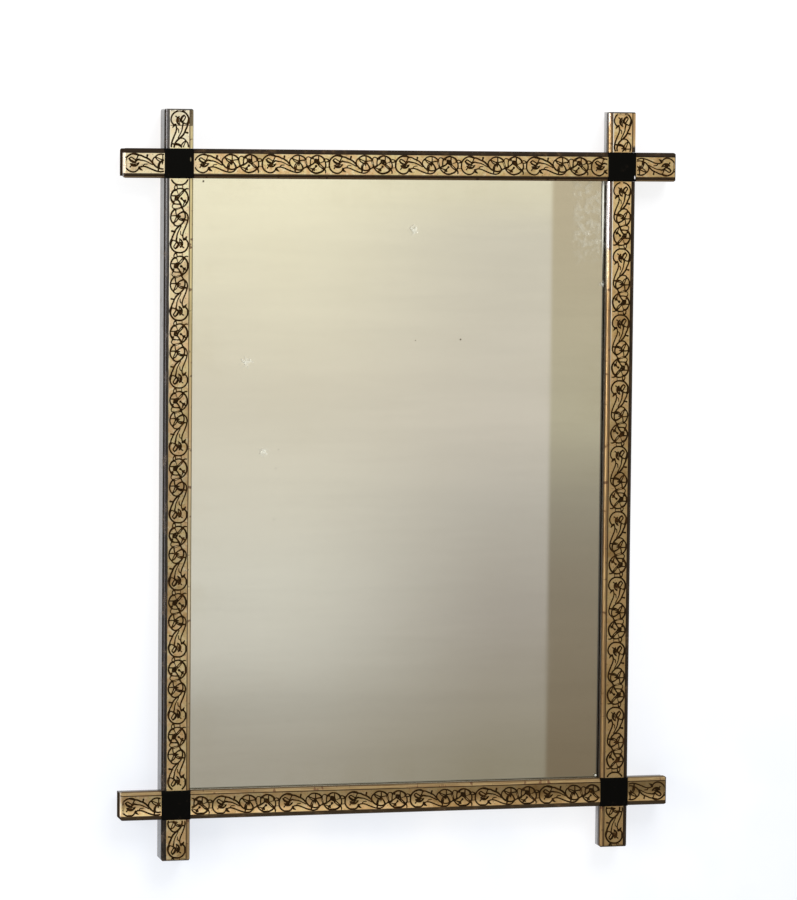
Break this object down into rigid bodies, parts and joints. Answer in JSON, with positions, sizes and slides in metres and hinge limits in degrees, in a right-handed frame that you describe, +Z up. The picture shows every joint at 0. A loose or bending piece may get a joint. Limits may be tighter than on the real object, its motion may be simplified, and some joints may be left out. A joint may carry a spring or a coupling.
{
  "type": "wall mirror",
  "caption": "Upright wall mirror in a crossed-corner frame with projecting horns, gilt flats with a black scrolling vine, black corner blocks and a hanging ring behind the top rail.",
  "frame": {"origin": "on the axis of the hanging ring, behind the middle of the top rail", "axes": "+Z up, +X to the viewer's right, the mirror's face looks along -Y and its back along +Y"},
  "size_m": [0.6014, 0.0306, 0.7937],
  "materials": {
    "gilt_moulding": "gilt flat and inner bevel with black line ornament, ebonised outer bevel and sides",
    "black_lacquer": "polished black lacquer on wood",
    "plate_glass": "old plate glass",
    "silvering": "aged silver coat, foxed at the edges",
    "pine": "bare old pine boards",
    "softwood": "bare softwood",
    "iron": "dark oxidised iron",
    "brass": "aged brass"
  },
  "bodies": {
    "frame": {"left_stile": "gilt_moulding", "right_stile": "gilt_moulding", "top_rail": "gilt_moulding", "bottom_rail": "gilt_moulding", "corner_block_top_left": "black_lacquer", "corner_block_top_right": "black_lacquer", "corner_block_bottom_left": "black_lacquer", "corner_block_bottom_right": "black_lacquer", "mirror_glass": "plate_glass", "silvering": "silvering", "backboard_upper": "pine", "backboard_middle": "pine", "backboard_lower": "pine", "glass_slips": "softwood", "block_dowels": "softwood", "backboard_sprigs": "iron", "corner_screws": "iron", "hanger_plate": "brass", "hanger_screws": "brass"},
    "ring": {"hanger_ring": "brass"}
  },
  "joints": [
    {"name": "ring_swing", "type": "hinge", "parent": "frame", "child": "ring", "pos_m": [0, 0, 0], "axis": [1, 0, 0], "range_deg": [0, 180]}
  ]
}
